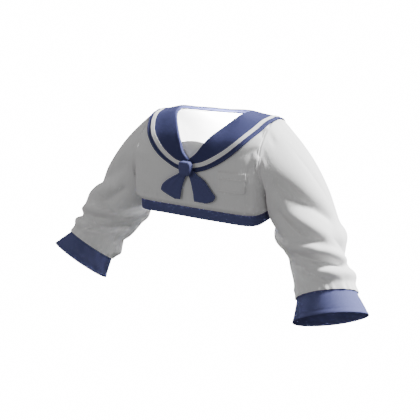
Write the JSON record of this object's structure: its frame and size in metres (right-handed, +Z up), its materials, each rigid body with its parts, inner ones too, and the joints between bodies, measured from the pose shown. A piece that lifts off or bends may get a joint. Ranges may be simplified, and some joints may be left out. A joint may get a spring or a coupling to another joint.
{
  "type": "sailor sweater",
  "caption": "Short wide-sleeved sailor sweater in worn form: white body, navy collar with white tape, knotted scarf, flared cuffs, hem band and a chest pocket.",
  "frame": {"origin": "middle of the line over the shoulders, level with the panels' shoulder seams, where the wearer's shoulders hold the garment up", "axes": "+Z up, -Y the garment's front, +X the wearer's left"},
  "size_m": [1.0266, 0.3739, 0.5626],
  "materials": {
    "front_panel": "white knit",
    "back_panel": "white knit",
    "sleeve_left": "white knit",
    "sleeve_right": "white knit",
    "cuff_left": "navy ribbed knit",
    "cuff_right": "navy ribbed knit",
    "hem_band": "navy ribbed knit",
    "collar": "navy twill",
    "collar_tape": "white woven tape",
    "neck_band": "white knit",
    "chest_insert": "white knit",
    "scarf_knot": "navy twill",
    "scarf_tail_left": "navy twill",
    "scarf_tail_right": "navy twill",
    "pocket_patch": "white knit",
    "pocket_flap": "white knit"
  },
  "bodies": {
    "root": {"front_panel": "front_panel", "back_panel": "back_panel", "sleeve_left": "sleeve_left", "sleeve_right": "sleeve_right", "cuff_left": "cuff_left", "cuff_right": "cuff_right", "hem_band": "hem_band", "collar": "collar", "collar_tape": "collar_tape", "neck_band": "neck_band", "chest_insert": "chest_insert", "scarf_knot": "scarf_knot", "scarf_tail_left": "scarf_tail_left", "scarf_tail_right": "scarf_tail_right", "pocket_patch": "pocket_patch", "pocket_flap": "pocket_flap"}
  },
  "joints": []
}
